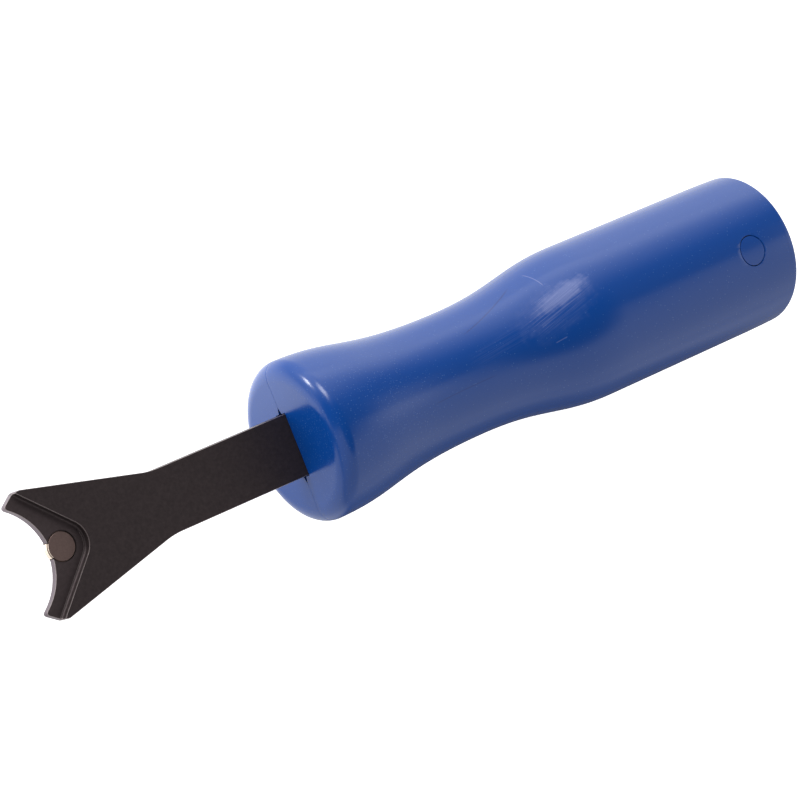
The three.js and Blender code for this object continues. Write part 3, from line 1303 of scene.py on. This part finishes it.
@dataclass
class Blade:
    """Flat steel blade: tang, shank, and a fork with a recess milled into its upper face."""

    thickness: float = 3.4 * MM
    half_width: float = 6.75 * MM
    tang_length: float = 50 * MM
    tang_corner: float = 2 * MM
    flare_start: float = -34.2 * MM
    flare_softness: float = 2 * MM
    horn_corner: tuple[float, float] = (-62.9 * MM, 13.55 * MM)
    horn_corner_softness: float = 0.8 * MM
    horn_tip: tuple[float, float] = (-66.4 * MM, 11 * MM)
    horn_tip_softness: float = 1.1 * MM
    notch_radius: float = 12.8 * MM
    notch_bottom: float = -60.15 * MM
    recess_depth: float = 1.6 * MM
    recess_point: float = -50.35 * MM
    recess_point_radius: float = 4.8 * MM
    recess_foot: float = 0.5 * MM
    edge: float = 0.13 * MM
    near_flat: float = 0.05 * MM
    foot_glint_tilt: tuple[float, float] = (0.97, 0.998)
    side_lean: float = 0.1
    end_lean: float = 0.2
    corner_steps: int = 6
    notch_steps: int = 56
    point_steps: int = 24
    foot_steps: int = 8

    def half_outline(self) -> list[Vector]:
        """The +Y side of the outline, from the tang's end to the notch."""
        tang_end = Vector((self.tang_length, self.half_width - self.tang_corner, 0))
        tang_side = Vector((self.tang_length - self.tang_corner, self.half_width, 0))
        flare = Vector((self.flare_start, self.half_width, 0))
        corner = Vector((*self.horn_corner, 0))
        tip = Vector((*self.horn_tip, 0))
        notch_x = tip.x + self.horn_tip_softness
        notch_centre = self.notch_bottom - self.notch_radius
        notch = Vector((notch_x, math.sqrt(self.notch_radius ** 2 - (notch_x - notch_centre) ** 2), 0))
        tip_start = tip + (corner - tip).normalized() * self.horn_tip_softness
        return [
            tang_end,
            tang_side,
            *self.softened(tang_side, flare, corner, self.flare_softness),
            *self.softened(flare, corner, tip, self.horn_corner_softness),
            *self.curve(tip_start, tip, notch),
        ]

    def curve(self, start: Vector, corner: Vector, end: Vector) -> list[Vector]:
        """Smooth turn from start to end that leans towards a corner."""
        first = start.lerp(corner, 2 / 3)
        second = end.lerp(corner, 2 / 3)
        return interpolate_bezier(start, first, second, end, self.corner_steps + 1)

    def softened(self, before: Vector, corner: Vector, after: Vector, distance: float) -> list[Vector]:
        """Smooth turn that starts and ends a given distance from a corner."""
        start = corner + (before - corner).normalized() * distance
        end = corner + (after - corner).normalized() * distance
        return self.curve(start, corner, end)

    def outline(self) -> list[Vector]:
        """The whole outline in the frame, at the blade's lower face."""
        side = self.half_outline()
        centre = self.notch_bottom - self.notch_radius
        reach = math.atan2(side[-1].y, side[-1].x - centre)
        notch = []
        for step in range(1, self.notch_steps):
            angle = reach * (1 - 2 * step / self.notch_steps)
            notch.append(Vector((
                centre + self.notch_radius * math.cos(angle), self.notch_radius * math.sin(angle), 0
            )))
        other = [Vector((point.x, -point.y, 0)) for point in reversed(side)]
        return [DATUM.point(p.x, p.y, -self.thickness / 2) for p in (*side, *notch, *other)]

    def recess_cutter(self) -> Workpiece:
        """Cutter for the recess: a V with a rounded point. Its round lower edge hollows the wall's foot."""
        centre = self.recess_point - self.recess_point_radius * math.sqrt(2)
        floor = self.thickness / 2 - self.recess_depth
        reach = 2 * self.horn_corner[1]
        arc = []
        for step in range(self.point_steps + 1):
            angle = math.pi / 4 - math.pi / 2 * step / self.point_steps
            arc.append(DATUM.point(
                centre + self.recess_point_radius * math.cos(angle),
                self.recess_point_radius * math.sin(angle),
                floor,
            ))
        start = DATUM.point(self.recess_point - reach, reach, floor)
        end = DATUM.point(self.recess_point - reach, -reach, floor)
        cutter = Workpiece.traced("recess", [start, *arc, end], closed=True)
        cutter.raise_by(self.recess_depth + MM)
        floor_height = DATUM.axis + floor
        back = start.x + TINY

        def at_foot(a: Vector, b: Vector) -> bool:
            """Whether an edge runs along the foot of the wall."""
            return all(abs(co.z - floor_height) < TINY for co in (a, b)) and max(a.x, b.x) > back

        cutter.bevel_edges(at_foot, self.recess_foot, self.foot_steps)
        return cutter

    def round_pin(self, place: Vector, pin: NotchPin, margin: float) -> bool:
        """Whether a place lies on the pin, or within a margin of its hole."""
        hole = DATUM.point(pin.station)
        return math.hypot(place.x - hole.x, place.y) < pin.radius + pin.gap + margin

    def finish_of(self, centre: Vector, normal: Vector, pin: NotchPin) -> BladeFinish:
        """Which finish a face of the blade has.

        Args:
            centre: The face's middle.
            normal: The face's normal.
            pin: The pin in the concave edge.

        Returns:
            Its finish. The fillet at the foot of the recess on one side gets the bright steel as a painted
            reflection, the recess floor gets a lighter oxide as painted fill light, and the ends of the horns
            and the concave edge are cut.
        """
        if centre.x > DATUM.front:
            return BladeFinish.OXIDE
        height = centre.z - DATUM.axis
        top = self.thickness / 2 - self.near_flat
        if top - self.recess_depth < height < top:
            # On the -Y arm the fillet at the foot of the recess wall gets the bright steel, a painted
            # reflection of the light on that side; the flatter recess floor gets the lighter oxide, painted
            # fill light.
            level, flat = self.foot_glint_tilt
            if level < normal.z < flat and centre.y < MM:
                return BladeFinish.RUBBED
            return BladeFinish.RECESS if normal.z > level else BladeFinish.OXIDE
        is_side = abs(normal.z) < self.side_lean and not self.round_pin(centre, pin, pin.gap)
        on_fork = centre.x < DATUM.point(self.horn_corner[0] + MM).x or normal.x < -self.end_lean
        is_cut = is_side and on_fork and normal.x < self.end_lean
        return BladeFinish.CUT if is_cut else BladeFinish.OXIDE

    def build(self, pins: TangPins, notch_pin: NotchPin) -> bpy.types.Object:
        """Models the blade.

        Args:
            pins: The pins that cross the tang.
            notch_pin: The pin in the concave edge.

        Returns:
            The finished object.
        """
        blade = Workpiece.traced("blade_fine", self.outline(), closed=True)
        blade.raise_by(self.thickness)
        depth = 3 * self.thickness
        holes = [
            Workpiece.rod("tang_hole", DATUM.point(x, 0, -depth / 2), pins.radius + pins.play, depth)
            for _, x in pins.stations
        ]
        holes.append(Workpiece.rod(
            "pin_hole", DATUM.point(notch_pin.station, 0, -depth / 2),
            notch_pin.radius + notch_pin.gap, depth, SHOWN_SIDES,
        ))
        blade.combine("DIFFERENCE", self.recess_cutter(), *holes)
        blade.tidy()
        finishes = (BLACK_OXIDE, BRIGHT_EDGE_WEAR_AND_GLINT, CUT_EDGE, RECESS_OXIDE_PAINTED_FILL)
        blade.paint(finishes, lambda centre, normal: self.finish_of(centre, normal, notch_pin).value)
        # Every edge bevel gets the bright steel: partly bare steel from wear, partly a painted highlight
        # along the edges.
        bright_edge_finish = BladeFinish.RUBBED.value
        blade.modify(
            "BEVEL", width=self.edge, segments=2, limit_method="ANGLE",
            angle_limit=math.radians(50), material=bright_edge_finish, use_clamp_overlap=False,
        )
        for face in blade.obj.data.polygons:
            if face.material_index == bright_edge_finish and self.round_pin(face.center, notch_pin, self.edge):
                face.material_index = BladeFinish.OXIDE.value
        blade.shade(32)
        return blade.hand_over("blade", "black_oxide_steel")


# ---------------------------------------------------------------- studio


@dataclass(frozen=True)
class Softbox:
    """Rectangular studio light that faces the tool."""

    name: str
    azimuth: float
    elevation: float
    distance: float
    width: float
    height: float
    radiance: float
    aim_station: float = 50 * MM

    def build(self) -> bpy.types.Object:
        """Adds the light, with its power worked out from its radiance."""
        data = bpy.data.lights.new(self.name, "AREA")
        data.shape = "RECTANGLE"
        data.size = self.width
        data.size_y = self.height
        data.energy = self.radiance * math.pi * self.width * self.height
        light = bpy.data.objects.new(self.name, data)
        light.visible_camera = False
        direction = heading(self.azimuth, self.elevation)
        light.location = DATUM.point(self.aim_station) + direction * self.distance
        light.rotation_euler = direction.to_track_quat("Z", "Y").to_euler()
        bpy.context.scene.collection.objects.link(light)
        log.info("%s at %s", self.name, tuple(round(value, 3) for value in light.location))
        return light


def heading(azimuth: float, elevation: float) -> Vector:
    """Unit vector towards an azimuth, from +X towards +Y, and an elevation, both in degrees."""
    turn = math.radians(azimuth)
    rise = math.radians(elevation)
    return Vector((math.cos(rise) * math.cos(turn), math.cos(rise) * math.sin(turn), math.sin(rise)))


@dataclass
class Studio:
    """Floor, lights and camera."""

    aim: tuple[float, float] = (-4.215 * MM, -0.228 * MM)
    camera_distance: float = 637.9 * MM
    camera_azimuth: float = 174.735
    camera_elevation: float = 56.301
    camera_roll: float = 72.766
    lens: float = 135.94
    floor_half: float = 3.0
    floor_thickness: float = 5 * MM
    floor_edge: float = 2 * MM
    floor_height: float = -0.2 * MM
    card_height: float = -0.5 * MM
    card_dim: float = 0.12
    room_dim: float = 0.12
    lamps: tuple[Softbox, ...] = (
        Softbox("low_lamp", 127, 4, 1.2, 0.27, 0.17, 26.0),
        Softbox("high_lamp", 103, 36, 1.1, 0.42, 0.34, 8.5),
    )
    room: tuple[Glow, ...] = (
        Glow(1.7, (("Y", 0.4, 1.0), ("Z", 0.95, 0.7))),
        Glow(0.6, (("Y", 0.2, 0.5), ("Z", 0.35, 0.1))),
        Glow(0.72, (("Y", 0.05, -0.09), ("Z", 0.88, 0.72))),
        Glow(0.14, (("X", 0.1, 0.45), ("Z", 0.88, 0.7))),
        Glow(0.5, (("X", 0.4, 0.65), ("Z", 0.74, 0.62), ("Y", 0.3, 0.1), ("Y", -0.35, -0.1))),
    )
    # Glows of the card: full light at +Y and far out at -Y, a painted pool of light in front of the handle,
    # and a dim strip just beside the tool at -Y that is the tool's painted cast shadow.
    card: tuple[Glow, ...] = (
        Glow(0.6, (("Y", -20 * MM, -150 * MM),)),
        Glow(1.0, (("Y", -12 * MM, 20 * MM),)),
        Glow(0.4, (("Y", 40 * MM, 150 * MM),)),
        Glow(0.95, (
            ("X", -15 * MM, -34 * MM), ("X", -170 * MM, -120 * MM), ("Y", -100 * MM, -40 * MM),
            ("Y", 60 * MM, 22 * MM),
        )),
        Glow(0.22, (("X", 90 * MM, 140 * MM), ("Y", 0.0, -25 * MM), ("Y", -140 * MM, -90 * MM))),
    )

    def camera(self) -> None:
        """Adds the camera."""
        data = bpy.data.cameras.new("camera")
        data.lens = self.lens
        data.sensor_width = 36.0
        data.clip_start = 0.01
        data.clip_end = 20.0
        camera = bpy.data.objects.new("camera", data)
        direction = heading(self.camera_azimuth, self.camera_elevation)
        target = Vector((*self.aim, DATUM.axis))
        upright = direction.to_track_quat("Z", "Y").to_matrix().to_4x4()
        roll = Matrix.Rotation(math.radians(self.camera_roll), 4, "Z")
        camera.matrix_world = Matrix.Translation(target + direction * self.camera_distance) @ upright @ roll
        bpy.context.scene.collection.objects.link(camera)
        bpy.context.scene.camera = camera

    def floor(self, name: str, finish: Finish, height: float) -> bpy.types.Object:
        """Adds a wide floor.

        Args:
            name: Object name.
            finish: Its finish.
            height: How high it lies.

        Returns:
            The floor.
        """
        half = self.floor_half
        low = Vector((-half, -half, height - self.floor_thickness))
        floor = Workpiece.block(name, low, Vector((half, half, height)))
        floor.bevel_edges(lambda a, b: True, self.floor_edge, 2)
        floor.obj.data.materials.append(finish.material())
        floor.obj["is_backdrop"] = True
        return floor.obj

    def build(self) -> None:
        """Sets up the whole studio."""
        scene = bpy.context.scene
        scene.view_settings.view_transform = "Standard"
        self.camera()
        seen = self.floor("floor", StudioPaper("white_backdrop_paper"), self.floor_height)
        seen.visible_glossy = False
        seen.visible_diffuse = False
        seen.visible_shadow = False
        # The card is hidden from the camera; its graded glow is a painted pool of light and a painted shadow
        # of the tool on the floor, seen in reflections.
        grading = GlowingShadowCard("glowing_card_with_painted_floor_shadow", self.card_dim, self.card)
        card = self.floor("card", grading, self.card_height)
        card.visible_camera = False
        for lamp in self.lamps:
            lamp.build()
        self.light_room()

    def light_room(self) -> None:
        """Fills the room with broad soft light from both sides, and leaves it dark overhead."""
        world = bpy.data.worlds.new("soft_room")
        world.use_nodes = True
        tree = world.node_tree
        direction = add_node(tree, "TexCoord").outputs["Generated"]
        light = graded(tree, direction, self.room_dim, self.room)
        background = tree.nodes["Background"]
        background.inputs["Color"].default_value = linear("#ffffff")
        tree.links.new(light.outputs[0], background.inputs["Strength"])
        bpy.context.scene.world = world


# ---------------------------------------------------------------- assembly


def corners(bounds: tuple[Vector, Vector]) -> list[list[float]]:
    """The two corners of a box as plain lists."""
    return [[float(value) for value in corner] for corner in bounds]


def main() -> None:
    """Builds the tool and its studio."""
    logging.basicConfig(level=logging.INFO, format="%(name)s %(message)s")
    cad_box = corners(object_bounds())
    Studio().build()
    handle = Handle()
    screw = RearScrew()
    plug = ScrewPlug()
    pins = TangPins()
    halves = HandleHalves(handle, screw, plug, pins)
    for side in Side:
        halves.build(side)
    plug.build(handle, screw)
    screw.build()
    pins.build()
    blade = Blade()
    notch_pin = NotchPin()
    blade.build(pins, notch_pin)
    notch_pin.build(-blade.thickness / 2, blade.thickness / 2 - blade.recess_depth)
    {"cad": cad_box, "visual": corners(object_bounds())}


if __name__ == "__main__":
    main()
